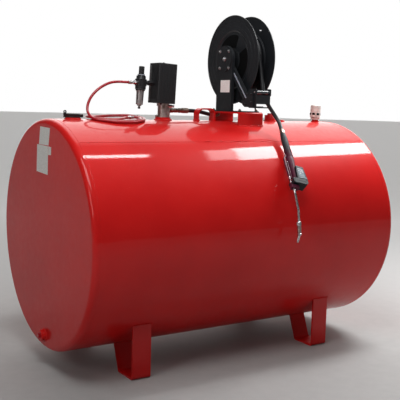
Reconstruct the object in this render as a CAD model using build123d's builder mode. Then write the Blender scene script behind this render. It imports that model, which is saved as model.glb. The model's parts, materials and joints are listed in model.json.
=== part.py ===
from build123d import *
import math
import os

os.makedirs("parts", exist_ok=True)

# ---------------------------------------------------------------- dimensions (mm)
# The origin is on the ground under the middle of the tank's box. X runs along the tank.
tank_dia = 1067.0
tank_len = 1702.4
wall = 3.4
knuckle = 22.5          # outer bend radius of the flanged heads
head_flange = 12.0      # straight flange of a head, after the knuckle
axis_height = 615.0     # tank axis above the ground
tank_x = 16.0           # tank centre in the part's frame
tank_y = 41.6
R = tank_dia / 2

# feet: bent flat bars
foot_width = 93.0
foot_bar = 10.0
foot_outer_y = 390.85
foot_inner_y = 252.0
foot_x = (-592.25, 455.17)

# fill opening and its hinged cap
fill_x = -714.0
fill_bore_r = 26.0
fill_top = 541.0
cap_r = 38.0
cap_hinge_x = fill_x + 43.0
cap_hinge_z = 551.5

# transfer pump
pump_x = -235.0
pump_r = 26.0
motor_x_size = 102.0
motor_y_size = 100.0
motor_z0 = 612.0
motor_z1 = 808.0
outlet_angle = 12.0     # the outlet points this far off the tank's axis
outlet_z = 581.0

# these stand a little out of plumb, tops towards the right head (degrees)
cover_lean = 2.7
reg_lean = 3.5
vent_lean = 4.0

# filter and regulator
reg_x = -361.0
reg_port_z = 711.0
reg_half = 23.0         # half the size of the regulator's square body

# lifting lug
lug_x = 12.0
lug_len = 108.0
lug_bar = 8.0
lug_wide = 40.0
lug_top = 596.0

# reel bracket and reel
br_x0, br_x1 = 118.0, 270.0
br_y0, br_y1 = -150.0, 120.0
br_top = 581.0
br_plate = 8.0
reel_z = 846.0
post_x = 127.0
post_half = 68.0
disc_r = 226.5
disc_x0 = 172.0
disc_x1 = 276.0
drum_r = 70.0
wound_r = 150.0
axle_r = 15.0
axle_gap = 0.5

# hose guide
arm_x = 144.0
gh_x0, gh_x1 = 151.0, 245.0
gh_y0, gh_y1 = -184.0, -244.0
gh_z0, gh_z1 = 603.0, 698.0
roller_r = 9.0

# hoses
hose_d = 20.0
air_d = 13.0

# couplings on the crown
spare_x = 433.0
port_x = 510.0
vent_x = 754.0
vent_r = 28.5
drain_z = -470.0


def T(x, y, z):
    """A point given from the tank's axis, in the part's frame."""
    return (tank_x + x, tank_y + y, axis_height + z)


def leaning(x, z, angle, up=0.0):
    """A plane across an upright that leans towards +X by that angle, about (x, z)."""
    a = math.radians(angle)
    return Plane(origin=T(x + up * math.sin(a), 0, z + up * math.cos(a)), x_dir=(math.cos(a), 0, -math.sin(a)), z_dir=(math.sin(a), 0, math.cos(a)))


tank_axis = Axis(T(0, 0, 0), (1, 0, 0))


def across(x):
    """The plane across the tank at x: its own x is +Y and its own y is +Z."""
    return Plane(origin=T(x, 0, 0), x_dir=(0, 1, 0), z_dir=(1, 0, 0))


def along(y):
    """The upright plane along the tank at y: its own x is +X and its own y is +Z."""
    return Plane(origin=T(0, y, 0), x_dir=(1, 0, 0), z_dir=(0, -1, 0))


def level(x, y, z):
    """The level plane whose origin is at that point from the tank's axis."""
    return Plane(origin=T(x, y, z), x_dir=(1, 0, 0), z_dir=(0, 0, 1))


# ---------------------------------------------------------------- tank
shell_x0 = -tank_len / 2 + knuckle + head_flange
shell_len = tank_len - 2 * (knuckle + head_flange)

with BuildPart() as tank_shell:
    with BuildSketch(across(shell_x0)):
        Circle(R)
        Circle(R - wall, mode=Mode.SUBTRACT)
    extrude(amount=shell_len)
    with BuildSketch(level(fill_x, 0, 400)):
        Circle(fill_bore_r)
    extrude(amount=200, mode=Mode.SUBTRACT)
tank_shell.part.label = "tank_shell"
export_step(tank_shell.part, "parts/tank_shell.step")

for head_name, s in (("head_left", -1), ("head_right", 1)):
    e = tank_len / 2
    with BuildPart() as head:
        with BuildSketch(Plane(origin=T(0, 0, 0), x_dir=(s, 0, 0), z_dir=(0, -s, 0))):
            with BuildLine():
                Line((e, 0), (e, R - knuckle))
                CenterArc((e - knuckle, R - knuckle), knuckle, 0, 90)
                Line((e - knuckle, R), (e - knuckle - head_flange, R))
                Line((e - knuckle - head_flange, R), (e - knuckle - head_flange, R - wall))
                Line((e - knuckle - head_flange, R - wall), (e - knuckle, R - wall))
                CenterArc((e - knuckle, R - knuckle), knuckle - wall, 0, 90)
                Line((e - wall, R - knuckle), (e - wall, 0))
                Line((e - wall, 0), (e, 0))
            make_face()
        revolve(axis=tank_axis)
    head.part.label = head_name
    export_step(head.part, f"parts/{head_name}.step")

# The feet: a bar down from the shell, bent flat along the ground and back up to the shell.
for foot_name, x0, s in (
    ("foot_left_front", foot_x[0], -1),
    ("foot_right_front", foot_x[1], -1),
    ("foot_left_rear", foot_x[0], 1),
    ("foot_right_rear", foot_x[1], 1),
):
    with BuildPart() as foot:
        with BuildSketch(Plane(origin=T(x0, 0, 0), x_dir=(0, s, 0), z_dir=(s, 0, 0))):
            with BuildLine():
                FilletPolyline(
                    (foot_outer_y, -330),
                    (foot_outer_y, -axis_height),
                    (foot_inner_y, -axis_height),
                    (foot_inner_y - 60, -axis_height + 148),
                    radius=16,
                )
                offset(amount=foot_bar, side=Side.RIGHT)
            make_face()
        extrude(amount=foot_width * s)
        with BuildSketch(across(x0 - 20)):
            Circle(R)
        extrude(amount=foot_width + 40, mode=Mode.SUBTRACT)
    foot.part.label = foot_name
    export_step(foot.part, f"parts/{foot_name}.step")

# ---------------------------------------------------------------- welded couplings
with BuildPart() as fill_collar:
    with BuildSketch(level(fill_x, 0, 520)):
        Circle(34)
        Circle(fill_bore_r, mode=Mode.SUBTRACT)
    extrude(amount=fill_top - 520)
    with BuildSketch(across(fill_x - 60)):
        Circle(R)
    extrude(amount=120, mode=Mode.SUBTRACT)
fill_collar.part.label = "fill_collar"
export_step(fill_collar.part, "parts/fill_collar.step")

with BuildPart() as tank_bungs:
    # pump bung
    with BuildSketch(level(pump_x, 0, 520)):
        Circle(38)
        Circle(24, mode=Mode.SUBTRACT)
    extrude(amount=547 - 520)
    # spare coupling
    with BuildSketch(level(spare_x, 0, 520)):
        Circle(29)
        Circle(17, mode=Mode.SUBTRACT)
    extrude(amount=566 - 520)
    # small closed port
    with BuildSketch(level(port_x, 0, 520)):
        Circle(15)
    extrude(amount=541 - 520)
    # vent neck
    with BuildSketch(level(vent_x, 0, 520)):
        Circle(17)
    extrude(amount=545 - 520)
    # their feet follow the shell
    with BuildSketch(across(-tank_len / 2 + 60)):
        Circle(R)
    extrude(amount=tank_len - 120, mode=Mode.SUBTRACT)
    # drain coupling, on the left head
    with BuildSketch(Plane(origin=T(-tank_len / 2, 0, drain_z), x_dir=(0, -1, 0), z_dir=(-1, 0, 0))):
        Circle(27)
        Circle(15, mode=Mode.SUBTRACT)
    extrude(amount=22)
tank_bungs.part.label = "tank_bungs"
export_step(tank_bungs.part, "parts/tank_bungs.step")

with BuildPart() as pipe_plugs:
    # spare coupling's plug: a threaded round and a square head
    with BuildSketch(level(spare_x, 0, 546)):
        Circle(17)
    extrude(amount=22)
    with BuildSketch(level(spare_x, 0, 568)):
        Rectangle(20, 20)
    extrude(amount=8)
    # drain coupling's plug
    drain_plane = Plane(origin=T(-tank_len / 2 - 4, 0, drain_z), x_dir=(0, -1, 0), z_dir=(-1, 0, 0))
    with BuildSketch(drain_plane):
        Circle(15)
    extrude(amount=20)
    with BuildSketch(drain_plane.offset(20)):
        Rectangle(18, 18)
    extrude(amount=8)
pipe_plugs.part.label = "pipe_plugs"
export_step(pipe_plugs.part, "parts/pipe_plugs.step")

# ---------------------------------------------------------------- fill cap
with BuildPart() as fill_cap_ring:
    with BuildSketch(level(fill_x, 0, fill_top)):
        Circle(36)
        Circle(fill_bore_r, mode=Mode.SUBTRACT)
    extrude(amount=7)
    # staple for a padlock, outside the lid's edge
    with BuildSketch(level(fill_x - 38, 0, fill_top)):
        Rectangle(13, 7)
    extrude(amount=5)
    with BuildSketch(along(3.5)):
        with Locations((fill_x - 38, fill_top + 17)):
            SlotOverall(31, 13, rotation=90)
        with Locations((fill_x - 38, fill_top + 25)):
            Circle(3.5, mode=Mode.SUBTRACT)
    extrude(amount=7)
    # hinge ears
    with BuildSketch(level(fill_x + 36, 0, fill_top)):
        with Locations((0, 13.5), (0, -13.5)):
            Rectangle(18, 6)
    extrude(amount=15)
    with BuildSketch(along(40)):
        with Locations((cap_hinge_x, cap_hinge_z)):
            Circle(2.5)
    extrude(amount=80, mode=Mode.SUBTRACT)
fill_cap_ring.part.label = "fill_cap_ring"
export_step(fill_cap_ring.part, "parts/fill_cap_ring.step")

with BuildPart() as fill_cap:
    with BuildSketch(level(fill_x, 0, fill_top + 7.4)):
        Circle(cap_r - 2)
    with BuildSketch(level(fill_x, 0, fill_top + 12)):
        Circle(cap_r)
    loft()
    with BuildSketch(level(fill_x, 0, fill_top + 12)):
        Circle(cap_r)
    extrude(amount=4)
    fillet(fill_cap.faces().sort_by(Axis.Z)[-1].edges(), 2)
    # tongue with its barrel, between the ears
    with BuildSketch(level(fill_x + 36, 0, fill_top + 7.4)):
        Rectangle(14, 19)
    extrude(amount=7)
    with BuildSketch(along(9.5)):
        with Locations((cap_hinge_x, cap_hinge_z)):
            Circle(4)
    extrude(amount=19)
    with BuildSketch(along(16.4)):
        with Locations((cap_hinge_x, cap_hinge_z)):
            Circle(2)
    extrude(amount=32.8)
    # a notch for the staple
    with BuildSketch(level(fill_x - 38, 0, fill_top - 1)):
        Rectangle(17, 10)
    extrude(amount=30, mode=Mode.SUBTRACT)
    # clear of the ears' inner faces and of the ring's rim
    with BuildSketch(level(fill_x + 36, 0, fill_top - 1)):
        with Locations((0, 13.5), (0, -13.5)):
            Rectangle(20.6, 7)
    extrude(amount=17, mode=Mode.SUBTRACT)
    with BuildSketch(along(16.4)):
        with Locations((cap_hinge_x, cap_hinge_z)):
            Circle(2)
    extrude(amount=32.8)
fill_cap.part.label = "fill_cap"
export_step(fill_cap.part, "parts/fill_cap.step")

# ---------------------------------------------------------------- pump
cover_plane = leaning(pump_x - 9, motor_z0 + 2.4, cover_lean)
with BuildPart() as pump_body:
    with BuildSketch(level(pump_x, 0, 547)):
        Circle(34)
    extrude(amount=10)
    with BuildSketch(level(pump_x, 0, 557)):
        Circle(pump_r)
    extrude(amount=45)
    with BuildSketch(level(pump_x, 0, 602)):
        Circle(31)
    extrude(amount=22)
    # its top follows the foot of the cover
    with BuildSketch(cover_plane):
        Rectangle(200, 200)
    extrude(amount=60, mode=Mode.SUBTRACT)
pump_body.part.label = "pump_body"
export_step(pump_body.part, "parts/pump_body.step")

with BuildPart() as air_motor_cover:
    with BuildSketch(cover_plane):
        RectangleRounded(motor_x_size, motor_y_size, 7)
    extrude(amount=motor_z1 - motor_z0 - 3)
    fillet(air_motor_cover.faces().sort_by(Axis.Z)[-1].edges(), 4)
air_motor_cover.part.label = "air_motor_cover"
export_step(air_motor_cover.part, "parts/air_motor_cover.step")

out_dir = (math.cos(math.radians(outlet_angle)), math.sin(math.radians(outlet_angle)))


def on_outlet(s, z=outlet_z):
    """A point at that distance from the pump's axis, along the outlet."""
    return T(pump_x + s * out_dir[0], s * out_dir[1], z)


def outlet_plane(s):
    return Plane(origin=on_outlet(s), x_dir=(-out_dir[1], out_dir[0], 0), z_dir=(out_dir[0], out_dir[1], 0))


with BuildPart() as pump_outlet:
    with BuildSketch(outlet_plane(20)):
        Circle(9)
    extrude(amount=110)
    with BuildSketch(outlet_plane(42)):
        RegularPolygon(13.5, 6)
    extrude(amount=18)
    with BuildSketch(outlet_plane(76)):
        RegularPolygon(12.5, 6)
    extrude(amount=16)
    with BuildSketch(outlet_plane(108)):
        RegularPolygon(13.5, 6)
    extrude(amount=22)
    with BuildSketch(outlet_plane(130)):
        Circle(12.5)
    extrude(amount=38)
    with BuildSketch(level(pump_x, 0, 540)):
        Circle(pump_r)
    extrude(amount=80, mode=Mode.SUBTRACT)
pump_outlet.part.label = "pump_outlet"
export_step(pump_outlet.part, "parts/pump_outlet.step")

# ---------------------------------------------------------------- filter and regulator
def on_reg(z):
    """The plane across the regulator and its bowl, at that height along their own leaning line."""
    return leaning(reg_x, reg_port_z, reg_lean, z - reg_port_z)


with BuildPart() as regulator_body:
    with BuildSketch(on_reg(680)):
        Circle(26)
    extrude(amount=48)
    with BuildSketch(on_reg(696)):
        RectangleRounded(2 * reg_half, 2 * reg_half, 6)
    extrude(amount=30)
    with BuildSketch(on_reg(728)):
        Circle(24)
    with BuildSketch(on_reg(752)):
        Circle(16)
    loft()
    # port nipple to the motor cover
    with BuildSketch(across(reg_x)):
        with Locations((0, reg_port_z)):
            Circle(9)
    extrude(amount=pump_x - motor_x_size / 2 - reg_x)
    with BuildSketch(across(-321)):
        with Locations((0, reg_port_z)):
            RegularPolygon(14, 6)
    extrude(amount=16)
    with BuildSketch(cover_plane):
        Rectangle(motor_x_size, motor_y_size)
    extrude(amount=150, mode=Mode.SUBTRACT)
regulator_body.part.label = "regulator_body"
export_step(regulator_body.part, "parts/regulator_body.step")

with BuildPart() as regulator_knob:
    with BuildSketch(on_reg(752.3)):
        Circle(13.5)
    extrude(amount=37)
    fillet(regulator_knob.faces().sort_by(Axis.Z)[-1].edges(), 3)
    with BuildSketch(on_reg(752)):
        with PolarLocations(14.3, 12):
            Circle(1.6)
    extrude(amount=36, mode=Mode.SUBTRACT)
regulator_knob.part.label = "regulator_knob"
export_step(regulator_knob.part, "parts/regulator_knob.step")

with BuildPart() as filter_bowl:
    with BuildSketch(on_reg(680)):
        Circle(18.6)
    with BuildSketch(on_reg(606)):
        Circle(17)
    loft()
    with BuildSketch(on_reg(672)):
        Circle(22)
    extrude(amount=8)
    with BuildSketch(on_reg(600)):
        Circle(11)
    extrude(amount=8)
    with BuildSketch(on_reg(586)):
        Circle(5.6)
    extrude(amount=15)
filter_bowl.part.label = "filter_bowl"
export_step(filter_bowl.part, "parts/filter_bowl.step")

with BuildPart() as air_inlet_fitting:
    inlet_plane = Plane(origin=T(-381.5, 0, reg_port_z), x_dir=(0, -1, 0), z_dir=(-1, 0, 0))
    with BuildSketch(inlet_plane.offset(-8)):
        Circle(7)
    extrude(amount=54)
    with BuildSketch(inlet_plane.offset(3)):
        RegularPolygon(11, 6)
    extrude(amount=13)
    with BuildSketch(inlet_plane.offset(24)):
        Circle(8.2)
    extrude(amount=22)
    with BuildSketch(on_reg(680)):
        Rectangle(2 * reg_half, 2 * reg_half)
        Circle(26)
    extrude(amount=60, mode=Mode.SUBTRACT)
air_inlet_fitting.part.label = "air_inlet_fitting"
export_step(air_inlet_fitting.part, "parts/air_inlet_fitting.step")

# ---------------------------------------------------------------- air hose
# Route from the fitting, down to the crown of the tank, into the loose loops.
air_route = [
    T(-427.5, 0, 711.0),
    T(-449, 0, 711.0),
    T(-479, 0, 712.0),
    T(-519, -1, 704.0),
    T(-558, -1, 684.0),
    T(-589.2, -0.4, 659.9),
    T(-611.9, -0.4, 633.1),
    T(-625.9, -2.0, 607.2),
    T(-633.7, -7.0, 585.2),
    T(-638.9, -17.9, 565.7),
    T(-641.2, -34.8, 550.3),
    T(-638.8, -55.1, 539.9),
    T(-631.2, -76.1, 535.1),
]


def cord_radii(route):
    """An arc for each corner, as large as the two runs beside it allow."""
    radii = []
    for a, b, c in zip(route, route[1:], route[2:]):
        u, v = Vector(*b) - Vector(*a), Vector(*c) - Vector(*b)
        turn = math.radians(u.get_angle(v))
        radii.append(0.45 * min(u.length, v.length) / math.tan(turn / 2))
    return radii


def cord_length(wire, route, diameter, name):
    runs = [(Vector(*b) - Vector(*a)).length for a, b in zip(route, route[1:])]
    print(name, "length", round(wire, 1), "runs", [round(r) for r in runs],
          "radii in diameters", [round(r / diameter, 1) for r in cord_radii(route)])


with BuildPart() as air_hose:
    with BuildLine() as air_path:
        FilletPolyline(*air_route, radius=cord_radii(air_route))
    with BuildSketch(Plane(origin=air_route[0], x_dir=(0, 1, 0), z_dir=air_path.wire() % 0)):
        Circle(air_d / 2)
    sweep(path=air_path.wire())
cord_length(air_path.wire().length, air_route, air_d, "air_hose")
air_hose.part.label = "air_hose"
export_step(air_hose.part, "parts/air_hose.step")

# The loops, as the space they fill: a ring that follows the crown.
coil_x, coil_y = -502.0, 0.0
with BuildPart() as coil_tail:
    # the last of the hose, inside the loops
    with BuildSketch(level(0, 0, 440)):
        with BuildLine():
            FilletPolyline(
                (-614, -14), (-600, -58), (-558, -79), (-505, -66), (-470, -38), (-441, -19),
                radius=18,
            )
        trace(line_width=15)
    extrude(amount=160)
    with BuildSketch(across(-700)):
        Circle(R + 16)
    extrude(amount=400, mode=Mode.INTERSECT)
    with BuildSketch(across(-700)):
        Circle(R + 0.6)
    extrude(amount=400, mode=Mode.SUBTRACT)
with BuildPart() as air_hose_coil:
    with BuildSketch(level(coil_x, coil_y, 440)):
        Ellipse(152, 143)
        Ellipse(108, 97, mode=Mode.SUBTRACT)
    extrude(amount=160)
    with BuildSketch(across(-700)):
        Circle(R + 36)
    extrude(amount=400, mode=Mode.INTERSECT)
    with BuildSketch(across(-700)):
        Circle(R + 0.6)
    extrude(amount=400, mode=Mode.SUBTRACT)
    add(coil_tail.part)
air_hose_coil.part.label = "air_hose_coil"
export_step(air_hose_coil.part, "parts/air_hose_coil.step")

with BuildPart() as air_hose_coupler:
    coupler_dir = Vector(0.93, 0.36, 0.02)
    coupler_plane = Plane(origin=T(-441, -19, 543.2), x_dir=(0, 0, 1), z_dir=coupler_dir)
    with BuildSketch(coupler_plane):
        Circle(8)
    extrude(amount=14)
    with BuildSketch(coupler_plane.offset(14)):
        RegularPolygon(8.8, 6)
    extrude(amount=10)
    with BuildSketch(coupler_plane.offset(24)):
        Circle(5.5)
    extrude(amount=22)
    with BuildSketch(coupler_plane.offset(34)):
        Circle(6.8)
    extrude(amount=5)
air_hose_coupler.part.label = "air_hose_coupler"
export_step(air_hose_coupler.part, "parts/air_hose_coupler.step")

# ---------------------------------------------------------------- lifting lug
with BuildPart() as lifting_lug:
    with BuildSketch(along(lug_wide / 2)):
        with BuildLine():
            FilletPolyline(
                (lug_x - lug_len / 2, 515),
                (lug_x - lug_len / 2, lug_top),
                (lug_x + lug_len / 2, lug_top),
                (lug_x + lug_len / 2, 515),
                radius=32,
            )
            offset(amount=lug_bar, side=Side.RIGHT)
        make_face()
    extrude(amount=lug_wide)
    with BuildSketch(across(lug_x - 100)):
        Circle(R)
    extrude(amount=200, mode=Mode.SUBTRACT)
lifting_lug.part.label = "lifting_lug"
export_step(lifting_lug.part, "parts/lifting_lug.step")

# ---------------------------------------------------------------- reel bracket
riser_x, riser_y = 159.0, 84.0
riser_r = 6.0
with BuildPart() as reel_bracket:
    with BuildSketch(across(br_x0)):
        with BuildLine():
            FilletPolyline(
                (br_y0, 480),
                (br_y0, br_top),
                (br_y1, br_top),
                (br_y1, 480),
                radius=12,
            )
            offset(amount=br_plate, side=Side.RIGHT)
        make_face()
    extrude(amount=br_x1 - br_x0)
    with BuildSketch(across(br_x0 - 20)):
        Circle(R)
    extrude(amount=200, mode=Mode.SUBTRACT)
    with BuildSketch(level(riser_x, riser_y, 560)):
        Circle(13)
    extrude(amount=40, mode=Mode.SUBTRACT)
reel_bracket.part.label = "reel_bracket"
export_step(reel_bracket.part, "parts/reel_bracket.step")

# ---------------------------------------------------------------- reel stand
with BuildPart() as reel_stand:
    # base plate
    with BuildSketch(level(0, 0, br_top)):
        with Locations(((br_x0 + 4 + 256) / 2, (br_y0 + br_y1) / 2)):
            RectangleRounded(256 - br_x0 - 4, br_y1 - br_y0 - 16, 10)
        with Locations((riser_x, riser_y)):
            Circle(13, mode=Mode.SUBTRACT)
    extrude(amount=5)
    # post: a channel, open towards the spool, with a round top
    with BuildSketch(across(post_x)):
        with Locations((2, (br_top + reel_z) / 2)):
            Rectangle(2 * post_half, reel_z - br_top)
        with Locations((2, reel_z)):
            Circle(post_half + 2)
    extrude(amount=16)
    with BuildSketch(across(post_x + 4)):
        with Locations((2, (br_top + 5 + reel_z) / 2)):
            Rectangle(2 * post_half - 8, reel_z - br_top - 5)
        with Locations((2, reel_z)):
            Circle(post_half - 2)
    extrude(amount=30, mode=Mode.SUBTRACT)
    # hub plate on the outside, boss on the inside, axle through the spool
    with BuildSketch(across(post_x - 4)):
        with Locations((2, reel_z)):
            Circle(62)
    extrude(amount=4)
    with BuildSketch(across(post_x + 4)):
        with Locations((0, reel_z)):
            Circle(24)
    extrude(amount=disc_x0 - 4 - post_x - 4)
    with BuildSketch(across(post_x + 4)):
        with Locations((0, reel_z)):
            Circle(axle_r)
    extrude(amount=disc_x1 + 8 - post_x - 4)
    with BuildSketch(across(disc_x1 + 8)):
        with Locations((0, reel_z)):
            RegularPolygon(20, 6)
    extrude(amount=8)
reel_stand.part.label = "reel_stand"
export_step(reel_stand.part, "parts/reel_stand.step")

# ---------------------------------------------------------------- spool
for disc_name, xf, s in (("near_disc", disc_x0, 1), ("far_disc", disc_x1, -1)):
    with BuildPart() as disc:
        with BuildSketch(Plane(origin=T(xf, 0, reel_z), x_dir=(s, 0, 0), z_dir=(0, -s, 0))):
            with BuildLine():
                Polyline(
                    (5, axle_r + axle_gap), (5, 142), (0, 150), (0, disc_r - 4),
                    (2, disc_r - 4), (2, 151), (7, 143), (7, axle_r + axle_gap),
                    close=True,
                )
            make_face()
            with Locations((1, disc_r - 3)):
                Circle(3)
        revolve(axis=Axis(T(0, 0, reel_z), (1, 0, 0)))
    disc.part.label = disc_name
    export_step(disc.part, f"parts/{disc_name}.step")

with BuildPart() as drum_core:
    with BuildSketch(across(disc_x0 + 7)):
        with Locations((0, reel_z)):
            Circle(drum_r)
            Circle(axle_r + axle_gap, mode=Mode.SUBTRACT)
    extrude(amount=disc_x1 - disc_x0 - 14)
drum_core.part.label = "drum_core"
export_step(drum_core.part, "parts/drum_core.step")

with BuildPart() as wound_hose:
    with BuildSketch(across(disc_x0 + 8)):
        with Locations((0, reel_z)):
            Circle(wound_r)
            Circle(drum_r + 0.3, mode=Mode.SUBTRACT)
    extrude(amount=disc_x1 - disc_x0 - 16)
    with BuildSketch(across(disc_x0 - 10)):
        with Locations((0, reel_z)):
            Circle(disc_r)
            Circle(141, mode=Mode.SUBTRACT)
    extrude(amount=18.5, mode=Mode.SUBTRACT)
wound_hose.part.label = "wound_hose"
export_step(wound_hose.part, "parts/wound_hose.step")

# ---------------------------------------------------------------- reel inlet and whip hose
whip_route = [
    on_outlet(168, 581.0),
    on_outlet(192, 581.0),
    on_outlet(236, 578.5),
    on_outlet(276, 573.5),
    on_outlet(312, 566.5),
    on_outlet(342, 562.0),
]
with BuildPart() as whip_hose:
    with BuildLine() as whip_path:
        FilletPolyline(*whip_route, radius=cord_radii(whip_route))
    with BuildSketch(Plane(origin=whip_route[0], x_dir=(0, 0, 1), z_dir=whip_path.wire() % 0)):
        Circle(hose_d / 2)
    sweep(path=whip_path.wire())
cord_length(whip_path.wire().length, whip_route, hose_d, "whip_hose")
whip_hose.part.label = "whip_hose"
export_step(whip_hose.part, "parts/whip_hose.step")

stub0 = whip_route[-1]
stub_dir = whip_path.wire() % 1
with BuildPart() as reel_inlet:
    with BuildLine() as inlet_path:
        FilletPolyline(
            stub0,
            tuple(Vector(*stub0) + stub_dir * 26),
            T(riser_x, riser_y, 556.0),
            T(riser_x, riser_y, reel_z),
            T(riser_x, 22.0, reel_z),
            radius=[14, 16, 18],
        )
    with BuildSketch(Plane(origin=stub0, x_dir=(0, 0, 1), z_dir=inlet_path.wire() % 0)):
        Circle(riser_r)
    sweep(path=inlet_path.wire())
    with BuildSketch(Plane(origin=stub0, x_dir=(0, 0, 1), z_dir=inlet_path.wire() % 0)):
        RegularPolygon(12.5, 6)
    extrude(amount=16)
    with BuildSketch(level(riser_x, riser_y, 770)):
        RegularPolygon(9.4, 6)
    extrude(amount=16)
    with BuildSketch(across(100)):
        with Locations((0, reel_z)):
            Circle(24)
    extrude(amount=100, mode=Mode.SUBTRACT)
reel_inlet.part.label = "reel_inlet"
export_step(reel_inlet.part, "parts/reel_inlet.step")

# ---------------------------------------------------------------- hose guide
arm_end = (-172.0, 655.0)
arm_len = math.hypot(arm_end[0], arm_end[1] - reel_z)
arm_dir = math.degrees(math.atan2(arm_end[1] - reel_z, arm_end[0]))
with BuildPart() as guide_arm:
    with BuildSketch(across(arm_x)):
        with Locations((arm_end[0] / 2, (arm_end[1] + reel_z) / 2)):
            Rectangle(arm_len, 40, rotation=arm_dir)
        with Locations((0, reel_z)):
            Circle(34)
        with Locations(arm_end):
            Circle(20)
        with Locations((0, reel_z)):
            Circle(24.2, mode=Mode.SUBTRACT)
    extrude(amount=7)
    # stiffening rib along the upper edge
    with BuildSketch(across(arm_x + 7)):
        with Locations((arm_end[0] * 0.5 + 14.9 * 0.75, (arm_end[1] + reel_z) / 2 - 14.9 * 0.662)):
            Rectangle(arm_len * 0.56, 4, rotation=arm_dir)
    extrude(amount=8)
    # gusset out to the guide head
    with BuildSketch(across(arm_x)):
        with Locations((-200, 651)):
            RectangleRounded(56, 64, 6)
        Polygon((-150, 668), (-134, 632), (-141, 618), (-160, 607), (-228, 607), (-228, 650), (-172, 672), align=None)
    extrude(amount=7)
guide_arm.part.label = "guide_arm"
export_step(guide_arm.part, "parts/guide_arm.step")

front_roller = (-231.0, 681.0)
rear_roller = (-192.5, 640.0)
with BuildPart() as guide_head:
    gh_yc, gh_zc = (gh_y0 + gh_y1) / 2, (gh_z0 + gh_z1) / 2
    with BuildSketch(across(gh_x0)):
        with Locations((gh_yc, gh_zc)):
            RectangleRounded(gh_y0 - gh_y1, gh_z1 - gh_z0, 5)
    extrude(amount=5)
    with BuildSketch(across(gh_x1 - 5)):
        with Locations((gh_yc, (gh_z1 + 663) / 2)):
            RectangleRounded(gh_y0 - gh_y1, gh_z1 - 663, 5)
    extrude(amount=5)
    # front panel, bottom bar and rear tie
    with BuildSketch(across(gh_x0 + 5)):
        with Locations((gh_y1 + 2.5, 645)):
            Rectangle(5, 44)
        with Locations((gh_y0 - 3, 690)):
            Rectangle(6, 12)
        with Locations((gh_y0 - 3, 608)):
            Rectangle(6, 8)
    extrude(amount=gh_x1 - gh_x0 - 10)
    with BuildSketch(across(gh_x0 + 5)):
        with Locations((gh_y1 + 4, 606)):
            Rectangle(8, 6)
    extrude(amount=76)
    # roller pins
    with BuildSketch(across(gh_x0 + 5)):
        with Locations(front_roller, rear_roller):
            Circle(3)
    extrude(amount=gh_x1 - gh_x0 - 10)
guide_head.part.label = "guide_head"
export_step(guide_head.part, "parts/guide_head.step")

for roller_name, at in (("front_roller", front_roller), ("rear_roller", rear_roller)):
    with BuildPart() as roller:
        with BuildSketch(across(gh_x0 + 6)):
            with Locations(at):
                Circle(roller_r)
                Circle(3.3, mode=Mode.SUBTRACT)
        extrude(amount=gh_x1 - gh_x0 - 12)
    roller.part.label = roller_name
    export_step(roller.part, f"parts/{roller_name}.step")

# ---------------------------------------------------------------- delivery hose
delivery_route = [
    T(222, -166, 870),
    T(222, -181, 803),
    T(223, -198, 727),
    T(226, -211, 660),
    T(245, -226, 617),
    T(266, -237, 583),
    T(280, -250, 556),
    T(285, -267, 534),
    T(281.5, -284, 512),
    T(276, -299, 497),
]
with BuildPart() as delivery_hose:
    with BuildLine() as delivery_path:
        FilletPolyline(*delivery_route, radius=cord_radii(delivery_route))
    with BuildSketch(Plane(origin=delivery_route[0], x_dir=(1, 0, 0), z_dir=delivery_path.wire() % 0)):
        Circle(hose_d / 2)
    sweep(path=delivery_path.wire())
cord_length(delivery_path.wire().length, delivery_route, hose_d, "delivery_hose")
delivery_hose.part.label = "delivery_hose"
export_step(delivery_hose.part, "parts/delivery_hose.step")

# ---------------------------------------------------------------- control handle
# Its own frame: z runs down the grip, x towards the right head, y away from the shell.
handle_z = Vector(-95, -258, -261).normalized()
handle_x = (Vector(1, 0, 0) - handle_z * handle_z.X).normalized()
handle_y = handle_z.cross(handle_x)
handle_0 = Vector(*delivery_route[-1])


def on_handle(z):
    """The plane across the handle, that far from the hose."""
    return Plane(origin=handle_0 + handle_z * z, x_dir=handle_x, z_dir=handle_z)


def beside_handle(y):
    """The plane along the handle: its own x is the handle's x and its own y is the handle's -z."""
    return Plane(origin=handle_0 + handle_y * y, x_dir=handle_x, z_dir=handle_y)


with BuildPart() as hose_swivel:
    with BuildSketch(on_handle(0)):
        Circle(11.5)
    extrude(amount=10)
    with BuildSketch(on_handle(10)):
        RegularPolygon(13, 6)
    extrude(amount=14)
hose_swivel.part.label = "hose_swivel"
export_step(hose_swivel.part, "parts/hose_swivel.step")

with BuildPart() as control_handle:
    # grip and valve body, as one tapering casting
    with BuildSketch(on_handle(24)):
        Ellipse(12.5, 12.5)
    with BuildSketch(on_handle(50)):
        Ellipse(16, 14)
    with BuildSketch(on_handle(130)):
        Ellipse(17, 15)
    with BuildSketch(on_handle(200)):
        Ellipse(20, 17)
    loft()
    with BuildSketch(on_handle(200)):
        Ellipse(20, 17)
    with BuildSketch(on_handle(250)):
        Ellipse(15, 16)
    loft()
    with BuildSketch(on_handle(250)):
        Ellipse(15, 16)
    extrude(amount=86)
    # trigger guard, a flat strip down to the outlet block
    with BuildSketch(beside_handle(-5)):
        with BuildLine():
            FilletPolyline((-15, -172), (-31, -198), (-31, -376), radius=14)
            offset(amount=6, side=Side.RIGHT)
        make_face()
    extrude(amount=10)
    # outlet block at the foot of the guard
    with BuildSketch(on_handle(384)):
        with Locations((-19, 0)):
            RectangleRounded(42, 26, 6)
    extrude(amount=-16)
control_handle.part.label = "control_handle"
export_step(control_handle.part, "parts/control_handle.step")

with BuildPart() as trigger:
    with BuildSketch(beside_handle(-5)):
        with BuildLine():
            FilletPolyline((-20.5, -224), (-20.5, -262), (-21, -322), radius=60)
            offset(amount=4, side=Side.RIGHT)
        make_face()
        with Locations((-24.5, -224)):
            Circle(4.5)
    extrude(amount=10)
trigger.part.label = "trigger"
export_step(trigger.part, "parts/trigger.step")

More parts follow.
